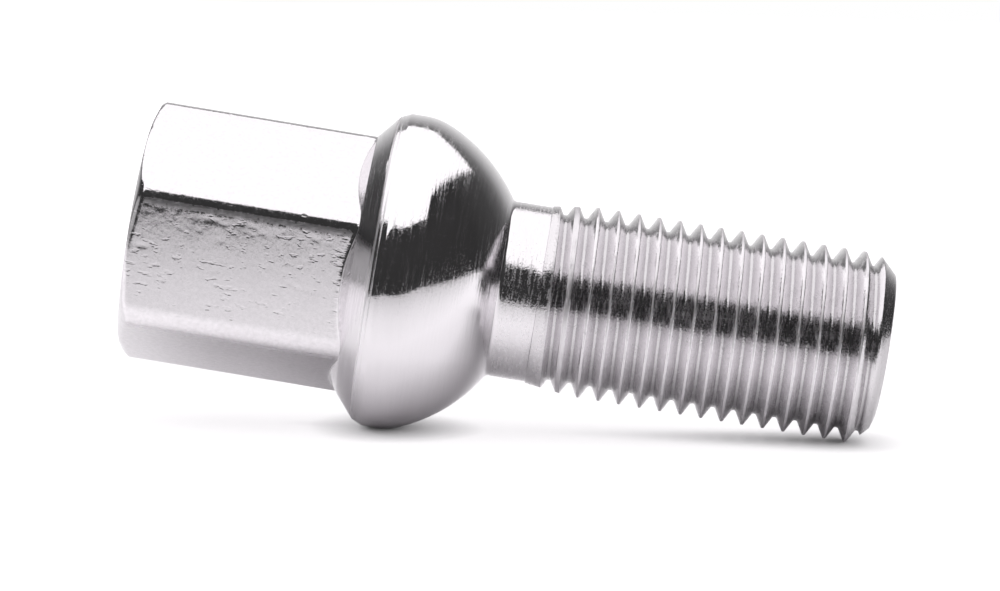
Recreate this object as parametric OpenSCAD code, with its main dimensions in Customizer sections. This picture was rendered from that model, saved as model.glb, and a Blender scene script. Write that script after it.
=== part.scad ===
// Ball seat wheel bolt: a long hexagon head, a conical collar with a spherical seat,
// a plain neck and a right-hand metric thread, forged and rolled as one piece.
// It stands on the end of its head: +Z runs up the shank, and the origin is the
// centre of the head's end face. All sizes are millimetres.

/* [Hexagon] */
// Width across the flats
hex_af = 16.95; // [14:0.05:18]
// Radius of the six long edges between the flats
hex_edge_r = 2; // [0.4:0.1:2.6]
// Length of the flats, measured along the middle of each
flat_l = 15.35; // [10:0.1:25]
// Slope of the shallow chamfer round the end face
end_chamfer_angle = 21; // [10:1:35]
// How far the round end face stays inside the flats
end_face_inset = 0.25; // [0.05:0.05:1]

/* [Collar] */
// Diameter of the collar's band
collar_d = 22.8; // [21:0.1:28]
// Height of the band between the two sloping faces
band_h = 2.3; // [1:0.1:6]
// Rise of the steep shoulder where the flats run out
shoulder_rise = 0.72; // [0.4:0.02:1.5]
// Slope of the collar's back, measured from the axis
back_angle = 49; // [40:1:60]
// Radius of the collar's rear edge
collar_edge_r = 1; // [0.4:0.1:1.8]

/* [Ball seat] */
// Radius of the spherical seat, centred on the axis. A collar that is wider than
// this sphere keeps a flat ledge round it
seat_r = 12; // [10:0.1:14]

/* [Shank] */
// Length from the foot of the seat to the tip
shank_l = 28; // [20:0.5:50]
// Plain length of the neck, up to the raised lip before the thread
neck_l = 2.85; // [1.5:0.05:8]
// Diameter of the neck
neck_d = 12.75; // [11:0.05:14]
// Radius of the fillet between the seat and the neck
neck_fillet_r = 0.4; // [0.1:0.05:1]

/* [Thread] */
// Outside diameter of the thread
thread_d = 13.8; // [12:0.05:16]
// Pitch of the thread
pitch = 1.5; // [1.25:0.25:2]
// How far the lip before the first groove stands above the neck
lip_h = 0.1; // [0.05:0.05:0.2]
// Width of that lip where the first groove starts
lip_land = 0.14; // [0.05:0.01:0.5]
// Distance over which the crests grow to the full diameter
run_out_l = 3.4; // [1.5:0.1:5]
// Bearing of the first groove about the axis
thread_start_angle = 74; // [0:1:360]
// Length of the chamfer at the tip
tip_chamfer = 1.35; // [0.5:0.05:1.5]
// Radius of the edge between that chamfer and the tip's face
tip_edge_r = 0.3; // [0.1:0.05:0.6]

/* [Hidden] */
$fn = 96;

// An amount by which pieces of the one solid reach into each other
overlap = 1;

// The hexagon
flat_r = hex_af / 2;
edge_centre_r = (flat_r - hex_edge_r) / cos(30);
corner_r = edge_centre_r + hex_edge_r;
end_face_r = flat_r - end_face_inset;
// Angle between the narrow faces that round each long edge
edge_step = 10;

// The collar, from the foot of the flats to the top of the band
shoulder_z = flat_l + shoulder_rise;
collar_r = collar_d / 2;
band_z = shoulder_z + (collar_r - corner_r) / tan(back_angle);
seat_z = band_z + band_h;
seat_centre_z = seat_z - sqrt(max(0, seat_r ^ 2 - collar_r ^ 2));
// The rounding of the rear edge takes this much of the cone, which is all it can take
back_length = (collar_r - corner_r) / sin(back_angle);
edge_reach = min(collar_edge_r * tan(back_angle / 2), back_length);
rear_edge_r = edge_reach / tan(back_angle / 2);

// The shank
neck_r = neck_d / 2;
neck_z = seat_centre_z + sqrt(seat_r ^ 2 - neck_r ^ 2);
lip_z = neck_z + neck_l;
tip_z = neck_z + shank_l;

// The centre of the fillet's arc, which touches the sphere and the neck
fillet_r = neck_r + neck_fillet_r;
fillet_z = seat_centre_z + sqrt((seat_r + neck_fillet_r) ^ 2 - fillet_r ^ 2);

// The metric thread form: 60 degrees between the flanks, crests an eighth of the
// pitch wide, and what is left over is the width of the root
flank_angle = 30;
depth_share = 0.6134;
crest_flat = pitch / 8;
crest_r = thread_d / 2;
root_r = crest_r - depth_share * pitch;
root_flat = pitch - crest_flat - 2 * (crest_r - root_r) * tan(flank_angle);
// The lip stands above the neck and the roots, but never above the crests
lip_r = min(max(neck_r, root_r) + lip_h, crest_r);

// Steps of the thread's mesh round one turn, and the share of a turn in which
// the first groove sinks to its full depth
turn_steps = 40;
fade_share = 0.25;
first_groove_z = lip_z + lip_land + groove_half_width(lip_r);
turns = ceil((tip_z + 2 * pitch - first_groove_z) / pitch) + 1;
last_step = turns * turn_steps;
thread_top = first_groove_z + pitch * (turns - 0.5);
// Points across the groove at each step, and the last of them
across = 4;
far_edge = across - 1;
// Where the edges of a groove lie, near enough to read the height of its crests
edge_offset = pitch / 3;

// Radius of the blank's crests at a height on the shank
function crest_limit(z) =
    lip_r + (crest_r - lip_r) * max(0, min(1, (z - lip_z) / run_out_l));

// Radius at the bottom of the groove, a number of steps from its start
function groove_r(step) =
    lip_r + (root_r - lip_r) * max(0, min(1, step / (turn_steps * fade_share)));

// Half the width of a full groove where its flank reaches a radius
function groove_half_width(r) = root_flat / 2 + (r - root_r) * tan(flank_angle);

// A point at a step round the axis
function on_turn(r, step, z) =
    [r * cos(360 * step / turn_steps), r * sin(360 * step / turn_steps), z];

// Four points across the groove at a step: near edge, two at the bottom, far edge
function groove_points(step) =
    let (
        z = first_groove_z + pitch * step / turn_steps,
        near_r = crest_limit(z - edge_offset),
        far_r = crest_limit(z + edge_offset),
        bottom_r = groove_r(step)
    )
    [
        on_turn(near_r, step, z - groove_half_width(near_r)),
        on_turn(bottom_r, step, z - root_flat / 2),
        on_turn(bottom_r, step, z + root_flat / 2),
        on_turn(far_r, step, z + groove_half_width(far_r))
    ];

function ring_points(r, z) = [for (step = [0:turn_steps - 1]) on_turn(r, step, z)];

// The outline of the rounded hexagon, with a rounded edge towards +X
module hexagon_outline() {
    polygon([
        for (edge = [0:5])
            for (turn = [-30:edge_step:30])
                edge_centre_r * [cos(60 * edge), sin(60 * edge)]
                    + hex_edge_r * [cos(60 * edge + turn), sin(60 * edge + turn)]
    ]);
}

// The shallow cone that chamfers the end of the head
module end_chamfer() {
    reach = corner_r + overlap;
    rotate_extrude()
        polygon([
            [0, 0],
            [end_face_r, 0],
            [reach, (reach - end_face_r) * tan(end_chamfer_angle)],
            [reach, band_z],
            [0, band_z]
        ]);
}

module hexagon_head() {
    intersection() {
        linear_extrude(band_z)
            hexagon_outline();
        end_chamfer();
    }
}

// The collar and its spherical seat, up to the top of the sphere
module collar_outline() {
    shoulder_slope = (corner_r - flat_r) / shoulder_rise;
    inner_r = flat_r - overlap;
    difference() {
        polygon([
            [0, flat_l - overlap / shoulder_slope],
            [inner_r, flat_l - overlap / shoulder_slope],
            [corner_r, shoulder_z],
            [collar_r, band_z],
            [collar_r, seat_centre_z + seat_r],
            [0, seat_centre_z + seat_r]
        ]);
        rear_edge_waste();
        seat_waste();
    }
}

// What the rounding takes off the collar's rear edge
module rear_edge_waste() {
    difference() {
        polygon([
            [collar_r, band_z],
            [collar_r - edge_reach * sin(back_angle), band_z - edge_reach * cos(back_angle)],
            [collar_r - rear_edge_r, band_z + edge_reach],
            [collar_r, band_z + edge_reach]
        ]);
        translate([collar_r - rear_edge_r, band_z + edge_reach])
            circle(r=rear_edge_r);
    }
}

// What turning the sphere takes off above the band
module seat_waste() {
    difference() {
        translate([0, seat_z])
            square([collar_r + overlap, seat_centre_z + seat_r + overlap - seat_z]);
        translate([0, seat_centre_z])
            circle(r=seat_r);
    }
}

module collar_and_seat() {
    rotate_extrude()
        collar_outline();
}

// The plain neck, with the fillet at its foot
module neck() {
    rotate_extrude()
        difference() {
            union() {
                polygon([[0, seat_centre_z], [fillet_r, fillet_z], [0, fillet_z]]);
                translate([0, seat_centre_z])
                    square([neck_r, lip_z - seat_centre_z]);
            }
            translate([fillet_r, fillet_z])
                circle(r=neck_fillet_r);
        }
}

// The threaded shank, running past the tip
module thread_blank() {
    base_r = root_r - overlap / 4;
    base_z = lip_z - overlap / 4;
    rings = concat(ring_points(base_r, base_z), ring_points(lip_r, lip_z));
    grooves = [for (step = [0:last_step]) each groove_points(step)];
    first = len(rings);
    apex = first + len(grooves);
    points = concat(rings, grooves, [[0, 0, thread_top]]);

    base_face = [for (step = [0:turn_steps - 1]) step];
    base_ring = [
        for (step = [0:turn_steps - 1])
            let (next = (step + 1) % turn_steps)
            [step, step + turn_steps, next + turn_steps, next]
    ];
    lip_ring = [
        for (step = [0:turn_steps - 2])
            let (here = first + across * step)
            [turn_steps + step, here, here + across, turn_steps + step + 1]
    ];
    // The groove's start is a line of points, met by the last step of the first turn
    last = turn_steps - 1;
    seam_end = first + across * last;
    seam_points = concat(
        [turn_steps],
        [for (row = [0:far_edge]) first + row],
        [first + across * turn_steps]
    );
    seam = concat(
        [[turn_steps + last, seam_end, turn_steps]],
        [
            for (place = [0:len(seam_points) - 2])
                [seam_points[place], seam_end, seam_points[place + 1]]
        ]
    );
    groove_faces = [
        for (step = [0:last_step - 1])
            for (row = [0:far_edge - 1])
                let (here = first + across * step + row, next = here + across)
                each [[here, here + 1, next + 1], [here, next + 1, next]]
    ];
    crest_faces = [
        for (step = [0:last_step - turn_steps - 1])
            let (
                here = first + across * step + far_edge,
                above = first + across * (step + turn_steps)
            )
            each [[here, above, above + across], [here, above + across, here + across]]
    ];
    rim = concat(
        [for (step = [last_step - turn_steps:last_step]) first + across * step + far_edge],
        [for (row = [far_edge - 1:-1:0]) first + across * last_step + row]
    );
    top_faces = [
        for (place = [0:len(rim) - 1])
            [rim[place], apex, rim[(place + 1) % len(rim)]]
    ];
    rotate([0, 0, thread_start_angle])
        polyhedron(
            points=points,
            faces=concat(
                [base_face], base_ring, lip_ring, seam, groove_faces, crest_faces, top_faces
            )
        );
}

// Everything above the tip's face, its rounded edge and its chamfer
module tip_cut() {
    outer_r = crest_r + overlap;
    face_r = crest_r - tip_chamfer;
    edge_l = tip_edge_r * tan(45 / 2);
    arc_r = face_r - edge_l;
    cut_top = thread_top + 2 * pitch;
    rotate_extrude()
        difference() {
            polygon([
                [0, tip_z],
                [arc_r, tip_z],
                [arc_r, tip_z - tip_edge_r],
                [face_r + edge_l * cos(45), tip_z - edge_l * sin(45)],
                [outer_r, tip_z - (outer_r - face_r)],
                [outer_r, cut_top],
                [0, cut_top]
            ]);
            translate([arc_r, tip_z - tip_edge_r])
                circle(r=tip_edge_r);
        }
}

module thread() {
    difference() {
        thread_blank();
        tip_cut();
    }
}

module wheel_bolt() {
    color("silver")
        union() {
            hexagon_head();
            collar_and_seat();
            neck();
            thread();
        }
}

wheel_bolt();
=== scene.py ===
"""Chrome-plated wheel bolt with a ball seat, lying on a white studio floor.

The bolt is one forging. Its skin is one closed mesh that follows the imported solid,
with the rounded edges, the forging marks and the rolled thread at full fineness.
Lengths are millimetres in the part's own frame, and meshes are made in metres: +Z
runs from the end of the head to the tip, and +X points at an edge of the hexagon.
"""

import logging
import math
from dataclasses import dataclass, field
from enum import Enum

import bpy
import numpy as np
from mathutils import Matrix, Vector


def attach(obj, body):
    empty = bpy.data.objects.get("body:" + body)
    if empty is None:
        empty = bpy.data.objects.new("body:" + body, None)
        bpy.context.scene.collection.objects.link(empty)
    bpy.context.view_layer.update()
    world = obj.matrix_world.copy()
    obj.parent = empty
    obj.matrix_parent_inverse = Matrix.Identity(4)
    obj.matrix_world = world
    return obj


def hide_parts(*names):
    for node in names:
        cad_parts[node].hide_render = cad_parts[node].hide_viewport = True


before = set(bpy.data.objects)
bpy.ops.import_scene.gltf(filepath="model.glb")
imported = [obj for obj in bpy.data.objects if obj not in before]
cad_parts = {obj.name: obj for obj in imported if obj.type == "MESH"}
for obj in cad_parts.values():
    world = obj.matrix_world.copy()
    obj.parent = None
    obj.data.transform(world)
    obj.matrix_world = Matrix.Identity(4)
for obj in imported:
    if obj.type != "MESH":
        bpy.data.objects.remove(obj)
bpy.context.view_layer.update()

LOG = logging.getLogger("wheel_bolt")
MM = 0.001
NODE = "wheel_bolt"

# Number of flats round the head, and the turn from one to the next
FLATS = 6
FLAT_TURN = math.pi / 3

# Least length and least turn that a rounded corner divides by, and the largest share
# of a straight that its arc may take
LEAST_LENGTH = 1e-9
LEAST_TURN = 1e-6
ARC_SHARE = 0.49


class Surface(Enum):
    """How a stretch of the bolt was made, which sets its finish."""

    FORGED = 0
    TURNED = 1
    ROLLED = 2


@dataclass(frozen=True)
class Corner:
    """A corner of a profile, at a radius and a height that may differ round the axis.

    Attributes:
        r: Distance from the axis.
        z: Height above the head's end face.
        rounding: Radius of the arc that rounds the corner, or 0 for a plain point.
        arc_parts: Number of steps along that arc.
        line_parts: Number of steps along the straight that leads to the next corner.
    """

    r: np.ndarray
    z: np.ndarray
    rounding: float = 0.0
    arc_parts: int = 4
    line_parts: int = 1


def corner_arc(
    corner: Corner, before: np.ndarray, here: np.ndarray, after: np.ndarray
) -> list[np.ndarray]:
    """Samples the arc that rounds one corner, at every bearing at once.

    Args:
        corner: The corner.
        before: Radii and heights of the corner before it.
        here: Its own radii and heights.
        after: Radii and heights of the corner after it.

    Returns:
        The arc's points in order, each as radii and heights.
    """
    back, ahead = before - here, after - here
    back_l = np.maximum(np.hypot(*back), LEAST_LENGTH)
    ahead_l = np.maximum(np.hypot(*ahead), LEAST_LENGTH)
    cosine = np.clip(-(back * ahead).sum(0) / (back_l * ahead_l), -1, 1)
    half_turn = np.maximum(np.arccos(cosine) / 2, LEAST_TURN)
    most = ARC_SHARE * np.minimum(back_l, ahead_l)
    reach = np.minimum(corner.rounding * np.tan(half_turn), most)
    first = here + back / back_l * reach
    last = here + ahead / ahead_l * reach
    # A circle's arc is a blend of its two end rays, seen from its centre
    centre = here + ((first + last) / 2 - here) / np.cos(half_turn) ** 2
    spread = np.sin(2 * half_turn)
    arc = []
    for step in range(corner.arc_parts + 1):
        share = step / corner.arc_parts
        near = np.sin((1 - share) * 2 * half_turn)
        far = np.sin(share * 2 * half_turn)
        arc.append(centre + ((first - centre) * near + (last - centre) * far) / spread)
    return arc


def rounded_rows(corners: list[Corner]) -> tuple[np.ndarray, np.ndarray, list[int]]:
    """Samples a profile with rounded corners at every bearing at once.

    Args:
        corners: The profile's corners in order; the first and last stay sharp.

    Returns:
        Radii and heights, each with one row per point and one column per bearing,
        and the first row of each corner.
    """
    points = np.stack([np.stack(np.broadcast_arrays(c.r, c.z)) for c in corners])
    arcs = []
    for place, corner in enumerate(corners):
        if corner.rounding == 0 or place in (0, len(corners) - 1):
            arcs.append([points[place]])
        else:
            arcs.append(corner_arc(corner, *points[place - 1 : place + 2]))
    rows, firsts = [], []
    for place, arc in enumerate(arcs):
        firsts.append(len(rows))
        rows.extend(arc)
        if place + 1 < len(arcs):
            start, end = arc[-1], arcs[place + 1][0]
            parts = corners[place].line_parts
            rows.extend(start + (end - start) * step / parts for step in range(1, parts))
    rows = np.array(rows)
    return rows[:, 0], rows[:, 1], firsts


def arc_points(
    centre: tuple[float, float], radius: float, start: float, end: float, count: int
) -> np.ndarray:
    """Samples an arc of a profile.

    Args:
        centre: Radius and height of its centre.
        radius: The arc's radius, below 0 where it is seen from the far side.
        start: Angle of its first point, from straight out.
        end: Angle of its last point.
        count: Number of points.

    Returns:
        Radius and height of each point.
    """
    turn = np.linspace(start, end, count)
    return np.array(centre) + radius * np.stack([np.cos(turn), np.sin(turn)], axis=1)


def link(thing: bpy.types.Object) -> bpy.types.Object:
    """Links an object to the scene and gives it back."""
    bpy.context.scene.collection.objects.link(thing)
    return thing


def read_vectors(items: bpy.types.bpy_prop_collection, name: str) -> np.ndarray:
    """Reads one vector from each of a mesh's items.

    Args:
        items: The items, such as the mesh's points.
        name: Name of the vector.

    Returns:
        The vectors, one row each.
    """
    values = np.empty(len(items) * 3)
    items.foreach_get(name, values)
    return values.reshape(-1, 3)


def store(mesh: bpy.types.Mesh, name: str, values: np.ndarray) -> None:
    """Stores a number or a vector for each point of a mesh, for the finishes to read.

    Args:
        mesh: The mesh.
        name: The attribute's name.
        values: One number, or one row of three, for each point.
    """
    kind, part = ("FLOAT", "value") if values.ndim == 1 else ("FLOAT_VECTOR", "vector")
    attribute = mesh.attributes.new(name, kind, "POINT")
    attribute.data.foreach_set(part, values.astype(np.float32).ravel())


@dataclass
class Skin:
    """A closed mesh under construction.

    Attributes:
        points: Blocks of points, in millimetres.
        faces: Point numbers of each face.
        surfaces: Number of each face's surface.
        count: Number of points so far.
    """

    points: list[np.ndarray] = field(default_factory=list)
    faces: list[tuple[int, ...]] = field(default_factory=list)
    surfaces: list[int] = field(default_factory=list)
    count: int = 0

    def add_points(self, r: np.ndarray, bearing: np.ndarray, z: np.ndarray) -> np.ndarray:
        """Adds points given by radius, bearing and height.

        Args:
            r: Distances from the axis.
            bearing: Bearings about the axis, in radians.
            z: Heights.

        Returns:
            The new points' numbers, in the shape of the given arrays.
        """
        r, bearing, z = np.broadcast_arrays(r, bearing, z)
        flat = np.stack([r * np.cos(bearing), r * np.sin(bearing), z], axis=-1).reshape(-1, 3)
        self.points.append(flat)
        numbers = np.arange(self.count, self.count + len(flat)).reshape(r.shape)
        self.count += len(flat)
        return numbers

    def add_faces(self, surface: Surface, *corners: np.ndarray) -> None:
        """Adds one face for each set of matching corner numbers.

        Args:
            surface: The surface that the faces belong to.
            *corners: Arrays of point numbers, one array for each corner of a face.
        """
        grid = np.stack([c.ravel() for c in np.broadcast_arrays(*corners)], axis=-1)
        self.faces.extend(map(tuple, grid.tolist()))
        self.surfaces.extend([surface.value] * len(grid))

    def add_bands(self, surface: Surface, rows: np.ndarray) -> None:
        """Joins closed rings of points, each with as many points as the next.

        Args:
            surface: The surface that the bands belong to.
            rows: Point numbers, one row for each ring.
        """
        along = np.roll(rows, -1, axis=1)
        self.add_faces(surface, rows[:-1], along[:-1], along[1:], rows[1:])

    def build(self, name: str) -> bpy.types.Object:
        """Makes the Blender object.

        Args:
            name: The piece's name.

        Returns:
            The new object, linked to the scene.
        """
        mesh = bpy.data.meshes.new(name)
        mesh.from_pydata((np.concatenate(self.points) * MM).tolist(), [], self.faces)
        mesh.polygons.foreach_set("material_index", self.surfaces)
        mesh.polygons.foreach_set("use_smooth", [True] * len(self.faces))
        mesh.validate()
        mesh.update()
        return link(bpy.data.objects.new(name, mesh))


@dataclass
class HexagonHead:
    """The long hexagon head, from its end face to the foot of its flats.

    Attributes:
        across_flats: Width across the flats.
        edge_r: Radius that rounds the long edges.
        land_turn: Turn of the narrow land that the forging left beside each edge.
        flat_l: Length of the flats, from the end face.
        end_slope: Slope of the chamfer round the end face.
        end_face_inset: How far the end face's rim stands inside the flats.
        end_face_rounding: Radius between the end face and its chamfer.
        rim_rounding: Radius between the chamfer and the flats.
        face_parts: Number of rings on the end face.
        flat_parts: Number of rows along the flats.
        foot_arc_parts: Number of rows on the fillet at the foot of the flats.
    """

    across_flats: float = 16.95
    edge_r: float = 2.0
    land_turn: float = math.radians(13)
    flat_l: float = 15.35
    end_slope: float = math.radians(21)
    end_face_inset: float = 0.25
    end_face_rounding: float = 0.5
    rim_rounding: float = 0.34
    face_parts: int = 9
    flat_parts: int = 79
    foot_arc_parts: int = 4

    @property
    def flat_r(self) -> float:
        """Distance of the flats from the axis."""
        return self.across_flats / 2

    @property
    def edge_centre_r(self) -> float:
        """Distance from the axis to the centre of each long edge's rounding."""
        return (self.flat_r - self.edge_r) / math.cos(FLAT_TURN / 2)

    @property
    def corner_r(self) -> float:
        """Distance of the rounded edges from the axis."""
        return self.edge_centre_r + self.edge_r

    def outline(self, bearing: np.ndarray) -> np.ndarray:
        """Gives the rounded hexagon's radius.

        Args:
            bearing: Bearings about the axis, in radians.

        Returns:
            The outline's distance from the axis at each bearing.
        """
        half_sector = FLAT_TURN / 2
        off_edge = (bearing + half_sector) % FLAT_TURN - half_sector
        sine = np.minimum(np.abs(self.edge_centre_r * np.sin(off_edge)), self.edge_r)
        round_r = self.edge_centre_r * np.cos(off_edge) + np.sqrt(self.edge_r**2 - sine**2)
        flat_r = self.flat_r / np.cos(half_sector - np.abs(off_edge))
        # The forging's parting left a narrow flat land on one side of each edge
        half_land = self.land_turn / 2
        middle = half_sector - half_land
        land_r = self.edge_centre_r * math.cos(middle) + self.edge_r * math.cos(half_land)
        on_land = off_edge > self.edge_bearing(middle - half_land)
        edge_r = np.where(on_land, land_r / np.cos(off_edge - middle), round_r)
        on_edge = np.abs(off_edge) < self.edge_bearing(half_sector)
        return np.where(on_edge, edge_r, flat_r)

    def edge_bearing(self, turn: float) -> float:
        """Bearing, off a long edge's middle, where the edge's rounding has made a turn."""
        out = self.edge_centre_r + self.edge_r * math.cos(turn)
        return math.atan2(self.edge_r * math.sin(turn), out)

    def corners(self, bearing: np.ndarray, foot_z: np.ndarray, foot_r: float) -> list[Corner]:
        """Gives the head's profile at each bearing.

        Args:
            bearing: Bearings about the axis, in radians.
            foot_z: Height at which the flat runs out at each bearing.
            foot_r: Radius of the small fillet at the foot of the flats.

        Returns:
            Corners from near the middle of the end face to the foot of the flats.
        """
        side = self.outline(bearing)
        face_r = self.flat_r - self.end_face_inset
        zero = np.zeros_like(bearing)
        rim_z = (side - face_r) * math.tan(self.end_slope)
        return [
            Corner(zero + face_r / self.face_parts, zero, line_parts=self.face_parts - 1),
            Corner(zero + face_r, zero, self.end_face_rounding, arc_parts=3, line_parts=2),
            Corner(side, rim_z, self.rim_rounding, arc_parts=6, line_parts=self.flat_parts),
            Corner(side, foot_z, foot_r, self.foot_arc_parts, line_parts=6),
        ]


@dataclass
class CollarAndSeat:
    """The conical collar and the spherical seat, down to the foot of the neck.

    Attributes:
        collar_d: Diameter of the band round the collar.
        band_h: Height of the band, if its edges were sharp.
        shoulder_rise: Height of the shoulder's outer edge over the end of the flats.
        back_angle: Angle of the cone from the axis.
        rear_edge_r: Radius between the cone and the band.
        front_edge_r: Radius of the soft edge between the band and the sphere.
        seat_r: Radius of the sphere.
        foot_fillet_r: Radius of the fillet at the foot of the flats.
        shoulder_edge_r: Radius between the shoulder and the cone.
        halving_h: Height of the strip of the band where the columns halve.
        edge_points: Number of points along the soft edge.
        sphere_points: Number of points along the sphere.
        fillet_points: Number of points along the fillet at the neck.
    """

    collar_d: float = 22.8
    band_h: float = 2.3
    shoulder_rise: float = 0.72
    back_angle: float = math.radians(49)
    rear_edge_r: float = 1.0
    front_edge_r: float = 4.4
    seat_r: float = 12.0
    foot_fillet_r: float = 0.18
    shoulder_edge_r: float = 0.35
    halving_h: float = 0.25
    edge_points: int = 8
    sphere_points: int = 26
    fillet_points: int = 7

    def shoulder_z(self, head: HexagonHead) -> float:
        """Height of the shoulder's outer edge."""
        return head.flat_l + self.shoulder_rise

    def band_z(self, head: HexagonHead) -> float:
        """Height at which the cone would meet the band."""
        rise = (self.collar_d / 2 - head.corner_r) / math.tan(self.back_angle)
        return self.shoulder_z(head) + rise

    def seat_z(self, head: HexagonHead) -> float:
        """Height at which the band would meet the sphere."""
        return self.band_z(head) + self.band_h

    def centre_z(self, head: HexagonHead) -> float:
        """Height of the sphere's centre."""
        return self.seat_z(head) - math.sqrt(self.seat_r**2 - (self.collar_d / 2) ** 2)

    def foot_z(self, head: HexagonHead, bearing: np.ndarray) -> np.ndarray:
        """Height at which the steep shoulder meets the hexagon, at each bearing."""
        slope = (head.corner_r - head.flat_r) / self.shoulder_rise
        return head.flat_l + (head.outline(bearing) - head.flat_r) / slope

    def corners(self, head: HexagonHead, bearing: np.ndarray) -> list[Corner]:
        """Gives the profile from the shoulder's outer edge to the top of the band.

        Args:
            head: The hexagon head that the collar grows from.
            bearing: Bearings about the axis, in radians.

        Returns:
            The corners after the foot of the flats.
        """
        zero = np.zeros_like(bearing)
        band_r = zero + self.collar_d / 2
        edge_z = zero + self.shoulder_z(head)
        top_z = self.soft_edge(head)[1] - self.halving_h
        return [
            Corner(zero + head.corner_r, edge_z, self.shoulder_edge_r, arc_parts=2, line_parts=6),
            Corner(band_r, zero + self.band_z(head), self.rear_edge_r, arc_parts=7, line_parts=3),
            Corner(band_r, zero + top_z),
        ]

    def soft_edge(self, head: HexagonHead) -> tuple[float, float]:
        """Centre of the arc that softens the edge between the band and the sphere.

        Args:
            head: The hexagon head that the collar grows from.

        Returns:
            The centre's radius and height.
        """
        centre_r = self.collar_d / 2 - self.front_edge_r
        rise = math.sqrt((self.seat_r - self.front_edge_r) ** 2 - centre_r**2)
        return centre_r, self.centre_z(head) + rise

    def seat_rows(self, head: HexagonHead, neck_r: float, fillet_r: float) -> np.ndarray:
        """Gives the soft front edge, the sphere and the fillet at the neck.

        Args:
            head: The hexagon head that the collar grows from.
            neck_r: Radius of the neck.
            fillet_r: Radius of the fillet between the sphere and the neck.

        Returns:
            Radius and height of each row above the band.
        """
        centre_z = self.centre_z(head)
        arc_r, arc_z = self.soft_edge(head)
        leave = math.atan2(arc_z - centre_z, arc_r)
        join_r = neck_r + fillet_r
        join_z = centre_z + math.sqrt((self.seat_r + fillet_r) ** 2 - join_r**2)
        meet = math.atan2(join_z - centre_z, join_r)
        edge = arc_points((arc_r, arc_z), self.front_edge_r, 0, leave, self.edge_points)
        sphere = arc_points((0, centre_z), self.seat_r, leave, meet, self.sphere_points)
        fillet = arc_points((join_r, join_z), -fillet_r, meet, 0, self.fillet_points)
        return np.concatenate([edge, sphere[1:], fillet[1:]])


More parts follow.
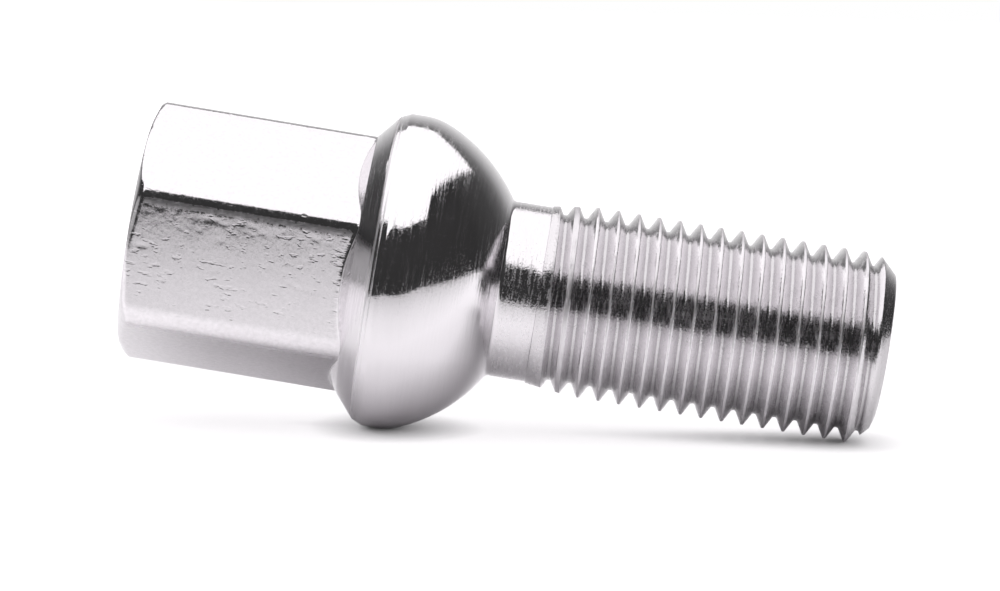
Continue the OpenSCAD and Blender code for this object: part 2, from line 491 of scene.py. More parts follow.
@dataclass
class ThreadedShank:
    """The plain neck and the rolled right-hand thread, to the chamfered tip.

    Attributes:
        shank_l: Length from where the sphere would meet the neck to the tip.
        neck_l: Length of the plain neck, up to the lip.
        neck_d: Diameter of the neck.
        neck_fillet_r: Radius of the fillet between the sphere and the neck.
        thread_d: Diameter of the full crests.
        pitch: How far the thread climbs in a turn.
        lip_h: How far the lip stands above the neck.
        lip_land: Width of the lip where the first groove starts.
        run_out_l: Length over which the crests rise to their full height.
        start_bearing: Bearing at which the first groove starts.
        tip_chamfer: Width and height of the chamfer at the tip.
        tip_edge_r: Radius between the chamfer and the tip's face.
        depth_share: Depth of the thread as a share of its pitch.
        flank: Angle between a flank and a plane square to the axis.
        fade_share: Share of a turn over which the first groove reaches its depth.
        crest_rounding: Radius along the crests' edges.
        root_rounding: Radius along the roots.
        lip_rounding: Radius of the lip's edge.
        columns: Number of columns round the shank.
        turns_on_face: Turns of the thread's ribbon past the tip, which close its face.
        lip_foot_rounding: Radius between the neck and the lip.
        face_margin: How much further than its last row the tip's face would run, so
            that no row reaches the axis.
    """

    shank_l: float = 28.0
    neck_l: float = 2.85
    neck_d: float = 12.75
    neck_fillet_r: float = 0.4
    thread_d: float = 13.8
    pitch: float = 1.5
    lip_h: float = 0.1
    lip_land: float = 0.14
    run_out_l: float = 3.4
    start_bearing: float = math.radians(74)
    tip_chamfer: float = 1.35
    tip_edge_r: float = 0.3
    depth_share: float = 0.6134
    flank: float = math.radians(30)
    fade_share: float = 0.25
    crest_rounding: float = 0.05
    root_rounding: float = 0.1
    lip_rounding: float = 0.1
    columns: int = 180
    turns_on_face: float = 2.0
    lip_foot_rounding: float = 0.05
    face_margin: float = 1.06

    @property
    def crest_r(self) -> float:
        """Radius of the full crests."""
        return self.thread_d / 2

    @property
    def root_r(self) -> float:
        """Radius of the roots."""
        return self.crest_r - self.depth_share * self.pitch

    @property
    def root_flat(self) -> float:
        """Width of the root between the flanks, with crests an eighth of the pitch wide."""
        depth = self.crest_r - self.root_r
        return self.pitch - self.pitch / 8 - 2 * depth * math.tan(self.flank)

    @property
    def lip_r(self) -> float:
        """Radius of the lip at the end of the neck."""
        return self.neck_d / 2 + self.lip_h

    def half_width(self, r: np.ndarray | float) -> np.ndarray | float:
        """Half the width of a full groove at a distance from the axis."""
        return self.root_flat / 2 + (r - self.root_r) * math.tan(self.flank)

    def crest_limit(self, z: np.ndarray, lip_z: float) -> np.ndarray:
        """Radius of the crests at each height, which grows from the lip over the run-out."""
        share = np.clip((z - lip_z) / self.run_out_l, 0, 1)
        return self.lip_r + (self.crest_r - self.lip_r) * share

    def groove_rows(self, lip_z: float, tip_z: float) -> tuple[np.ndarray, np.ndarray]:
        """Samples the thread at each step along its helix.

        Args:
            lip_z: Height of the lip.
            tip_z: Height of the tip's face.

        Returns:
            Radii and heights: one row per point from the crest below to the crest
            above the groove, and one column per step.
        """
        first_z = lip_z + self.lip_land + self.half_width(self.lip_r)
        turns = math.ceil((tip_z - first_z) / self.pitch + self.turns_on_face)
        step = np.arange(turns * self.columns)
        z = first_z + self.pitch * step / self.columns
        # The crests on both sides of a groove are about a third of a pitch from its middle
        near_r = self.crest_limit(z - self.pitch / 3, lip_z)
        far_r = self.crest_limit(z + self.pitch / 3, lip_z)
        depth = np.clip(step / (self.columns * self.fade_share), 0, 1)
        bottom_r = self.lip_r + (self.root_r - self.lip_r) * depth
        below = z - self.pitch / 2
        above = z + self.pitch / 2
        r, z, _ = rounded_rows(
            [
                Corner(self.crest_limit(below, lip_z), below),
                Corner(near_r, z - self.half_width(near_r), self.crest_rounding, arc_parts=2),
                Corner(bottom_r, z - self.root_flat / 2, self.root_rounding, arc_parts=2),
                Corner(bottom_r, z + self.root_flat / 2, self.root_rounding, arc_parts=2),
                Corner(far_r, z + self.half_width(far_r), self.crest_rounding, arc_parts=2),
                Corner(self.crest_limit(above, lip_z), above),
            ]
        )
        return r, z

    def stand_up(self, ribbon: np.ndarray) -> np.ndarray:
        """Stands the points of all turns above each other, column by column.

        Args:
            ribbon: Values with one row per point across the groove, and one column per
                step along the helix.

        Returns:
            The values with one row per point up the shank, and one column per bearing.
        """
        own = ribbon[:-1].reshape(len(ribbon) - 1, -1, self.columns).transpose(1, 0, 2)
        return np.concatenate([own.reshape(-1, self.columns), ribbon[-1:, -self.columns :]])

    def lay_along(self, upright: np.ndarray, across: int) -> np.ndarray:
        """Puts upright columns back along the helix, a row per step, without the last row."""
        turns = upright[:-1].reshape(-1, across, self.columns).transpose(0, 2, 1)
        return turns.reshape(-1, across)

    def trim_to_tip(
        self, r: np.ndarray, z: np.ndarray, tip_z: float
    ) -> tuple[np.ndarray, np.ndarray]:
        """Lays the rows that pass the tip on its chamfer, its rounded edge and its face.

        Args:
            r: Radii up the shank, one column per bearing.
            z: Heights in the same order.
            tip_z: Height of the tip's face.

        Returns:
            The radii and heights on the finished shank.
        """
        face_r = self.crest_r - self.tip_chamfer
        gap = r - (face_r + tip_z - z)
        below, above = gap[:-1], gap[1:]
        cross = (below < 0) != (above < 0)
        share = np.where(cross, below / np.where(cross, below - above, 1), 0)
        # The row nearest to the chamfer's edge moves onto it, so that the edge is clean
        for step, near in enumerate((cross & (share < 0.5), cross & (share >= 0.5))):
            rows, cols = np.nonzero(near)
            part = share[rows, cols]
            on_r = r[rows, cols] + (r[rows + 1, cols] - r[rows, cols]) * part
            on_z = z[rows, cols] + (z[rows + 1, cols] - z[rows, cols]) * part
            r[rows + step, cols] = on_r
            z[rows + step, cols] = on_z
        r = np.where(gap > 0, np.minimum(r, face_r + tip_z - z), r)
        return self.fold_onto_face(r, z, tip_z)

    def fold_onto_face(
        self, r: np.ndarray, z: np.ndarray, tip_z: float
    ) -> tuple[np.ndarray, np.ndarray]:
        """Lays the rows above the chamfer on its rounded edge and on the tip's face.

        Above the foot of the edge's arc, a row's height is its way along arc and face.

        Args:
            r: Radii, already cut back to the chamfer.
            z: Heights in the same order.
            tip_z: Height of the tip's face.

        Returns:
            The radii and heights on the finished shank.
        """
        slope = math.pi / 4
        edge_l = self.tip_edge_r * math.tan(slope / 2)
        arc_top_r = self.crest_r - self.tip_chamfer - edge_l
        arc_l = self.tip_edge_r * slope
        way = z - (tip_z - edge_l * math.sin(slope))
        turn = slope + np.clip(way / arc_l, 0, 1) * slope
        arc_r = arc_top_r + self.tip_edge_r * np.cos(turn)
        arc_z = tip_z - self.tip_edge_r + self.tip_edge_r * np.sin(turn)
        face_l = (float(way.max()) - arc_l) * self.face_margin
        on_face = arc_top_r * (1 - (way - arc_l) / face_l)
        r = np.where(way > arc_l, on_face, np.where(way > 0, arc_r, r))
        z = np.where(way > arc_l, tip_z, np.where(way > 0, arc_z, z))
        return r, z


@dataclass(frozen=True)
class Dent:
    """A dent or scratch in a flat.

    Attributes:
        across: Place across the flat, from its middle towards its upper edge.
        z: Height above the head's end face.
        length: Length of the mark.
        width: Width of the mark.
        lean: Angle of the mark's length from the bolt's axis, in degrees.
        depth: Depth at its middle.
    """

    across: float
    z: float
    length: float
    width: float
    lean: float
    depth: float

    def pressed(self, across: np.ndarray, z: np.ndarray) -> np.ndarray:
        """Gives how far the mark lowers each place of the flat.

        Args:
            across: Places across the flat.
            z: Heights above the end face.

        Returns:
            The depth of the mark at each place.
        """
        turn = math.radians(self.lean)
        right, up = z - self.z, across - self.across
        along = (right * math.cos(turn) + up * math.sin(turn)) / (self.length / 2)
        side = (up * math.cos(turn) - right * math.sin(turn)) / (self.width / 2)
        return self.depth * np.exp(-(along**4) - side**2)


# Number of the flat that faces the viewer, and the marks that it bears
VIEWED_FLAT = 4
VIEWED_DENTS = (
    Dent(0.61, 0.92, 1.37, 0.34, 3, 0.015),
    Dent(3.75, 0.95, 0.62, 0.28, -2, 0.0075),
    Dent(3.57, 2.05, 0.75, 0.3, -12, 0.0105),
    Dent(3.11, 0.97, 0.46, 0.26, 20, 0.006),
    Dent(3.61, 3.34, 0.57, 0.26, -3, 0.0075),
    Dent(3.3, 4.66, 0.56, 0.26, 14, 0.0066),
    Dent(3.27, 5.76, 1.26, 0.3, -8, 0.0114),
    Dent(3.02, 5.04, 0.91, 0.26, 13, 0.006),
    Dent(3.05, 6.72, 0.61, 0.26, 0, 0.0075),
    Dent(2.37, 3.56, 0.41, 0.26, 20, 0.0075),
    Dent(2.4, 4.99, 0.36, 0.26, 33, 0.0075),
    Dent(3.42, 7.83, 0.53, 0.36, -11, 0.0135),
    Dent(3.23, 8.67, 0.75, 0.26, -12, 0.009),
    Dent(2.77, 8.54, 0.92, 0.26, -19, 0.0075),
    Dent(2.88, 9.44, 0.51, 0.3, 4, 0.0105),
    Dent(2.97, 10.45, 0.34, 0.26, -2, 0.009),
    Dent(3.23, 10.91, 0.32, 0.26, 28, 0.0075),
    Dent(3.1, 13.18, 0.77, 0.3, -16, 0.0105),
    Dent(2.98, 14.22, 0.34, 0.26, -9, 0.0075),
    Dent(1.91, 6.54, 0.34, 0.26, 28, 0.0084),
    Dent(2.61, 11.13, 0.3, 0.26, -1, 0.0075),
    Dent(-0.19, 4.36, 0.34, 0.26, -30, 0.006),
    Dent(-0.34, 6.57, 0.3, 0.26, 10, 0.0096),
    Dent(-0.48, 12.25, 1.05, 0.26, -26, 0.0096),
    Dent(-0.68, 13.48, 1.54, 0.24, -3, 0.0054),
    Dent(1.8, 13.49, 0.28, 0.26, 1, 0.0075),
    Dent(-2.98, 5.61, 0.28, 0.26, -3, 0.0075),
)

# Least and most of each measure of the marks on the other flats
DENT_RANGES = {
    "across": (-3.8, 3.8),
    "z": (0.9, 15.0),
    "length": (0.28, 0.9),
    "width": (0.24, 0.34),
    "lean": (-30, 30),
    "depth": (0.0036, 0.009),
}


@dataclass
class ForgingMarks:
    """What the forging left on the head under the plating, and where the plate is matte.

    Attributes:
        seed: Seed of the waves and of the marks on the flats that are out of view.
        dents_a_flat: Number of dents on each of those flats.
        wave_height: Height of the waves.
        crown: How far the middle of each flat swells.
        matte_facing: Least cosine between the skin's normal and the flat's where the
            skin still counts as part of the flat's matte strip.
        wavelengths: Lengths of the waves.
        waves_each: Number of waves of each length.
        fade_l: Length over which the marks fade out at both ends of a flat.
        rim_clear: Height over the end face that stays free of marks.
        foot_clear: Height under the flats' end that stays free of marks.
        head_margin: How far the head is taken to reach past the flats' end.
        rim_z: Height from which the skin counts as a flat.
        flat_margin: How far inside its plane the skin still counts as a flat.
        strip_w: Width of the matte strip along each flat's upper edge.
        teeth_below: How far under the flats' end the short notches are strongest.
        teeth_reach: How far from there they fade out.
    """

    seed: int = 14
    dents_a_flat: int = 34
    wave_height: float = 0.004
    crown: float = 0.015
    matte_facing: float = math.cos(math.radians(14))
    wavelengths: tuple[float, ...] = (3.1, 1.7, 1.0, 0.62)
    waves_each: int = 7
    fade_l: float = 0.5
    rim_clear: float = 0.5
    foot_clear: float = 0.25
    head_margin: float = 0.4
    rim_z: float = 0.4
    flat_margin: float = 0.05
    strip_w: float = 0.5
    teeth_below: float = 0.1
    teeth_reach: float = 0.3

    def waves(self, points: np.ndarray) -> np.ndarray:
        """Gives gentle waves over the forged surface.

        Args:
            points: Places on the surface.

        Returns:
            The height of the waves at each place.
        """
        rng = np.random.default_rng(self.seed)
        height = np.zeros(len(points))
        for wavelength in self.wavelengths:
            for _ in range(self.waves_each):
                direction = rng.normal(size=3)
                direction /= np.linalg.norm(direction)
                turn = points @ direction * (2 * math.pi / wavelength)
                wave = np.sin(turn + rng.uniform(0, 2 * math.pi))
                height += wave * wavelength / self.wavelengths[0]
        return height * self.wave_height / self.waves_each

    def dents(self, side: int) -> list[Dent]:
        """Gives the dents of one flat.

        Args:
            side: The flat's number, counted round the axis from +X.

        Returns:
            Its dents.
        """
        if side == VIEWED_FLAT:
            return list(VIEWED_DENTS)
        rng = np.random.default_rng(self.seed + side)
        return [
            Dent(**{name: rng.uniform(*ends) for name, ends in DENT_RANGES.items()})
            for _ in range(self.dents_a_flat)
        ]

    def fade(self, z: np.ndarray, flat_l: float) -> np.ndarray:
        """Share of the marks' height that is left at each height on the head."""
        foot = np.clip((flat_l - self.foot_clear - z) / self.fade_l, 0, 1)
        return foot * np.clip((z - self.rim_clear) / self.fade_l, 0, 1)

    def teeth(self, z: np.ndarray, flat_l: float) -> np.ndarray:
        """Strength of the short notches at the foot of the flats, at each height."""
        return np.clip(1 - np.abs(z - flat_l + self.teeth_below) / self.teeth_reach, 0, 1)

    def relief(
        self, head: HexagonHead, points: np.ndarray, normals: np.ndarray
    ) -> tuple[np.ndarray, np.ndarray]:
        """Gives the relief of the flats, and how matte they are along their upper edges.

        Args:
            head: The hexagon head.
            points: Places on the skin.
            normals: The skin's normals at these places.

        Returns:
            The height of the marks and the matte share, at each place.
        """
        z = points[:, 2]
        fade = self.fade(z, head.flat_l)
        on_head = z < head.flat_l + self.head_margin
        height, matte = np.zeros(len(points)), np.zeros(len(points))
        height[on_head] += self.waves(points[on_head]) * fade[on_head]
        half_flat = head.edge_centre_r / 2
        for side in range(FLATS):
            normal = FLAT_TURN * (side + 0.5)
            out = points[:, 0] * math.cos(normal) + points[:, 1] * math.sin(normal)
            across = points[:, 0] * math.sin(normal) - points[:, 1] * math.cos(normal)
            on_flat = on_head & (out > head.flat_r - self.flat_margin) & (z > self.rim_z)
            flat_across, flat_z = across[on_flat], z[on_flat]
            for dent in self.dents(side):
                height[on_flat] -= dent.pressed(flat_across, flat_z) * fade[on_flat]
            swell = np.cos(np.clip(flat_across / half_flat, -1, 1) * math.pi / 2) ** 2
            height[on_flat] += self.crown * swell
            facing = normals @ (math.cos(normal), math.sin(normal), 0)
            share = np.clip(1 - (half_flat - across) / self.strip_w, 0, 1)
            strip = on_head & (share > 0) & (facing > self.matte_facing)
            matte = np.where(strip, np.maximum(matte, share), matte)
        return height, matte


@dataclass
class WheelBolt:
    """The whole bolt: the head, the collar and seat, and the threaded shank.

    Attributes:
        head: The hexagon head.
        collar: The collar and the seat.
        shank: The neck and the thread.
        marks: What the forging left on the head.
        columns: Number of columns round the head and the collar.
        lay_r: Radius at which the tools' marks are laid out round the axis.
        crest_margin: How far under the crests the skin still counts as a crest.
        worn_matte: How matte the worn rows are, where a crest is 1.
        painted_shade_depth: Depth in the thread at which the painted shade in the roots is full.
        worn_rows: Numbers of the points along the edges where the plate is worn.
    """

    head: HexagonHead = field(default_factory=HexagonHead)
    collar: CollarAndSeat = field(default_factory=CollarAndSeat)
    shank: ThreadedShank = field(default_factory=ThreadedShank)
    marks: ForgingMarks = field(default_factory=ForgingMarks)
    columns: int = 360
    lay_r: float = 9.0
    crest_margin: float = 0.01
    worn_matte: float = 2.0
    painted_shade_depth: float = 0.9
    worn_rows: list[np.ndarray] = field(default_factory=list)

    def neck_z(self) -> float:
        """Height at which the sphere would meet the neck."""
        neck_r = self.shank.neck_d / 2
        return self.collar.centre_z(self.head) + math.sqrt(self.collar.seat_r**2 - neck_r**2)

    def lip_z(self) -> float:
        """Height of the lip between the neck and the thread."""
        return self.neck_z() + self.shank.neck_l

    def add_head(self, skin: Skin) -> np.ndarray:
        """Adds the end face, the hexagon and the collar up to its band.

        Args:
            skin: The mesh under construction.

        Returns:
            The numbers of the top ring's points.
        """
        bearing = np.arange(self.columns) * (2 * math.pi / self.columns)
        foot_z = self.collar.foot_z(self.head, bearing)
        head_corners = self.head.corners(bearing, foot_z, self.collar.foot_fillet_r)
        r, z, firsts = rounded_rows(head_corners + self.collar.corners(self.head, bearing))
        foot, shoulder, rear = firsts[3:6]
        rings = skin.add_points(r, bearing[None, :], z)
        hub = skin.add_points(np.zeros(1), np.zeros(1), np.zeros(1))
        skin.add_faces(Surface.FORGED, np.roll(rings[0], -1), rings[0], hub)
        skin.add_bands(Surface.FORGED, rings[:shoulder])
        skin.add_bands(Surface.TURNED, rings[shoulder - 1 :])
        self.worn_rows = [rings[foot + self.head.foot_arc_parts], rings[rear]]
        return rings[-1]

    def neck_rows(self, foot_z: float) -> np.ndarray:
        """Gives the neck from its fillet to the lip.

        Args:
            foot_z: Height at which the fillet ends.

        Returns:
            Radius and height of each row above the fillet.
        """
        shank = self.shank
        neck_r, lip_r = np.array([shank.neck_d / 2]), np.array([shank.lip_r])
        lip_z = np.array([self.lip_z()])
        r, z, _ = rounded_rows(
            [
                Corner(neck_r, np.array([foot_z]), line_parts=4),
                Corner(neck_r, lip_z, shank.lip_foot_rounding, arc_parts=2),
                Corner(lip_r, lip_z, shank.lip_rounding, arc_parts=3),
                Corner(lip_r, lip_z + shank.lip_land / 2),
            ]
        )
        return np.stack([r[1:, 0], z[1:, 0]], axis=1)

    def add_seat(self, skin: Skin, band: np.ndarray) -> np.ndarray:
        """Adds the sphere and the neck, with half as many columns as the head.

        Args:
            skin: The mesh under construction.
            band: The numbers of the band's top ring.

        Returns:
            The numbers of the ring at the lip.
        """
        shank = self.shank
        bearing = np.arange(shank.columns) * (2 * math.pi / shank.columns)
        seat = self.collar.seat_rows(self.head, shank.neck_d / 2, shank.neck_fillet_r)
        rows = np.concatenate([seat, self.neck_rows(seat[-1, 1])])
        rings = skin.add_points(rows[:, :1], bearing[None, :], rows[:, 1:])
        even, odd = band[0::2], band[1::2]
        along = np.roll(rings[0], -1)
        skin.add_faces(Surface.TURNED, even, odd, rings[0])
        skin.add_faces(Surface.TURNED, odd, np.roll(even, -1), along)
        skin.add_faces(Surface.TURNED, odd, along, rings[0])
        skin.add_bands(Surface.TURNED, rings[: len(seat)])
        skin.add_bands(Surface.ROLLED, rings[len(seat) - 1 :])
        return rings[-1]

    def add_thread(self, skin: Skin, lip: np.ndarray) -> None:
        """Adds the thread as one ribbon along its helix, and closes the tip.

        Args:
            skin: The mesh under construction.
            lip: The numbers of the lip's ring.
        """
        shank = self.shank
        tip_z = self.neck_z() + shank.shank_l
        r, z = shank.groove_rows(self.lip_z(), tip_z)
        columns, steps, across = shank.columns, r.shape[1], len(r) - 1
        # The ring at the lip stands in for the first turn's row below the groove
        ring = np.roll(lip, -round(shank.start_bearing / (2 * math.pi) * columns))
        r, z = shank.trim_to_tip(shank.stand_up(r), shank.stand_up(z), tip_z)
        bearing = shank.start_bearing + np.arange(steps) * (2 * math.pi / columns)
        grid_r, grid_z = shank.lay_along(r, across), shank.lay_along(z, across)
        grid = skin.add_points(grid_r, bearing[:, None], grid_z)
        rim = skin.add_points(r[-1], bearing[-columns:], z[-1])
        grid[:columns, 0] = ring
        above = np.concatenate([grid[columns:, 0], rim])
        full = np.concatenate([grid, above[:, None]], axis=1)
        skin.add_faces(Surface.ROLLED, full[:-1, :-1], full[1:, :-1], full[1:, 1:], full[:-1, 1:])
        # The first turn's seam runs from the ring up the groove's start
        seam = np.concatenate([full[0], full[columns, :1]])
        skin.add_faces(Surface.ROLLED, ring[-1:], seam[:-2], seam[1:-1])
        hub = skin.add_points(np.zeros(1), np.zeros(1), np.array([tip_z]))
        end = np.concatenate([full[-columns - 1 :, -1], full[-1, -2::-1]])
        skin.add_faces(Surface.ROLLED, end[:-1], end[1:], hub)

    def press_marks(self, piece: bpy.types.Object) -> None:
        """Presses the forging marks into the flats, and stores what the finishes read.

        Args:
            piece: The finished skin.
        """
        mesh = piece.data
        points = read_vectors(mesh.vertices, "co") / MM
        normals = read_vectors(mesh.vertex_normals, "vector")
        height, matte = self.marks.relief(self.head, points, normals)
        matte[self.on_crest(points)] = 1.0
        for row in self.worn_rows:
            matte[row] = self.worn_matte
        points += normals * height[:, None]
        mesh.vertices.foreach_set("co", (points * MM).ravel())
        mesh.update()
        store(mesh, "lay", self.tool_lay(points) * MM)
        store(mesh, "matte", matte)
        radius = np.hypot(points[:, 0], points[:, 1])
        # The groove's depth drives the painted shade in the thread's roots
        groove = np.clip((self.shank.crest_r - radius) / self.painted_shade_depth, 0, 1)
        store(mesh, "groove", groove * (points[:, 2] > self.lip_z()))
        store(mesh, "foot", self.marks.teeth(points[:, 2], self.head.flat_l))

    def on_crest(self, points: np.ndarray) -> np.ndarray:
        """Tells which points lie on the thread's crests.

        Args:
            points: Places on the skin.

        Returns:
            A yes or no for each place.
        """
        top = self.shank.crest_limit(points[:, 2], self.lip_z()) - self.crest_margin
        on_thread = points[:, 2] > self.lip_z() + 2 * self.shank.lip_land
        return on_thread & (np.hypot(points[:, 0], points[:, 1]) > top)

    def tool_lay(self, points: np.ndarray) -> np.ndarray:
        """Gives where each point lies along the tool's marks, which run round the axis.

        Args:
            points: Places on the skin.

        Returns:
            A place for each point: round the axis at one radius, and along the profile.
        """
        radius = np.hypot(points[:, 0], points[:, 1])
        least_r = 0.01
        round_axis = points[:, :2] / np.maximum(radius, least_r)[:, None] * self.lay_r
        behind = points[:, 2] < self.collar.band_z(self.head)
        along = points[:, 2] + np.where(behind, radius, -radius)
        return np.column_stack([round_axis, along])

    def build(self) -> bpy.types.Object:
        """Builds the skin as one closed mesh.

        Returns:
            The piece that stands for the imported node.
        """
        skin = Skin()
        band = self.add_head(skin)
        lip = self.add_seat(skin, band)
        self.add_thread(skin, lip)
        piece = skin.build("bolt_skin")
        self.press_marks(piece)
        return piece

    def dress(self, piece: bpy.types.Object) -> None:
        """Gives each surface of the skin its finish, in the order of Surface."""
        for finish in (FORGED_CHROME, TURNED_CHROME, ROLLED_CHROME):
            piece.data.materials.append(finish.material())


class Graph:
    """A short way to add and link shader nodes."""

    def __init__(self, tree: bpy.types.NodeTree) -> None:
        """Keeps the tree and clears it."""
        self.tree = tree
        tree.nodes.clear()

    def add(self, kind: str, settings: dict | None = None, **inputs: object) -> bpy.types.Node:
        """Adds a node and fills its inputs.

        Args:
            kind: The node's type name without the leading "ShaderNode".
            settings: Properties of the node.
            **inputs: Values or output sockets, by socket name with "_" for a space,
                or by number with a leading "i".

        Returns:
            The new node.
        """
        node = self.tree.nodes.new("ShaderNode" + kind)
        for key, value in (settings or {}).items():
            setattr(node, key, value)
        for key, value in inputs.items():
            named = key[0] == "i" and key[1:].isdigit()
            socket = node.inputs[int(key[1:])] if named else node.inputs[key.replace("_", " ")]
            if isinstance(value, bpy.types.NodeSocket):
                self.tree.links.new(value, socket)
            else:
                socket.default_value = value
        return node

    def math(
        self, operation: str, a: object, b: object = 0.0, c: object = 0.0
    ) -> bpy.types.NodeSocket:
        """Adds a Math node and gives its result."""
        return self.add("Math", {"operation": operation}, i0=a, i1=b, i2=c).outputs[0]

    def noise(
        self, place: bpy.types.NodeSocket, scale: float, detail: float
    ) -> bpy.types.NodeSocket:
        """Adds a noise texture with a grain for each metre, and gives its level."""
        return self.add("TexNoise", Vector=place, Scale=scale, Detail=detail).outputs["Fac"]

    def stretched(
        self, place: bpy.types.NodeSocket, scale: tuple[float, float, float]
    ) -> bpy.types.NodeSocket:
        """Scales a place along each axis: a noise read there is longer where it is under 1."""
        return self.add("Mapping", Vector=place, Scale=scale).outputs[0]

    def attribute(self, name: str, output: str = "Fac") -> bpy.types.NodeSocket:
        """Reads one of the skin's own attributes."""
        return self.add("Attribute", {"attribute_name": name}).outputs[output]

    def dot(self, vector: bpy.types.NodeSocket, axis: Vector) -> bpy.types.NodeSocket:
        """Gives how far a vector reaches along an axis."""
        node = self.add("VectorMath", {"operation": "DOT_PRODUCT"}, i0=vector, i1=tuple(axis))
        return node.outputs["Value"]

    def shaded(
        self, colour: tuple[float, float, float], level: bpy.types.NodeSocket
    ) -> bpy.types.NodeSocket:
        """Multiplies a colour by a level."""
        return self.add("VectorMath", {"operation": "SCALE"}, i0=colour, Scale=level).outputs[0]

    def fade(
        self,
        value: bpy.types.NodeSocket,
        span: tuple[float, float],
        levels: tuple[float, float] = (0.0, 1.0),
        curve: str = "LINEAR",
    ) -> bpy.types.NodeSocket:
        """Fades from one level to another while a value crosses a span.

        Args:
            value: The socket that drives the fade.
            span: Values at which the fade starts and ends.
            levels: Levels before and after it.
            curve: Its curve.

        Returns:
            The level's socket.
        """
        ends = {"i1": span[0], "i2": span[1], "i3": levels[0], "i4": levels[1]}
        return self.add("MapRange", {"interpolation_type": curve}, Value=value, **ends).outputs[0]

    def bump(
        self, height: bpy.types.NodeSocket, depth: float, normal: bpy.types.NodeSocket | None = None
    ) -> bpy.types.NodeSocket:
        """Adds a bump.

        Args:
            height: Height of the surface, from 0 to 1.
            depth: Height that 1 stands for, in metres.
            normal: The normal that the bump works on, if not the surface's own.

        Returns:
            The new normal.
        """
        node = self.add("Bump", Height=height, Strength=1.0, Distance=depth)
        if normal is not None:
            self.tree.links.new(normal, node.inputs["Normal"])
        return node.outputs[0]

    def ramp(self, value: bpy.types.NodeSocket, stops: dict[float, float]) -> bpy.types.NodeSocket:
        """Adds a ramp that gives a level for each value from 0 to 1.

        Args:
            value: The socket that drives the ramp.
            stops: Levels by place on the ramp, from 0 to 1 each.

        Returns:
            The level's socket.
        """
        node = self.add("ValToRGB", Fac=value)
        elements = node.color_ramp.elements
        while len(elements) < len(stops):
            elements.new(0.5)
        for element, (place, level) in zip(elements, sorted(stops.items())):
            element.position = place
            element.color = (level, level, level, 1.0)
        return node.outputs["Color"]


def new_material(name: str) -> tuple[bpy.types.Material, Graph]:
    """Makes a node material.

    Args:
        name: The material's name.

    Returns:
        The material, and the empty graph to fill.
    """
    material = bpy.data.materials.new(name)
    material.use_nodes = True
    return material, Graph(material.node_tree)


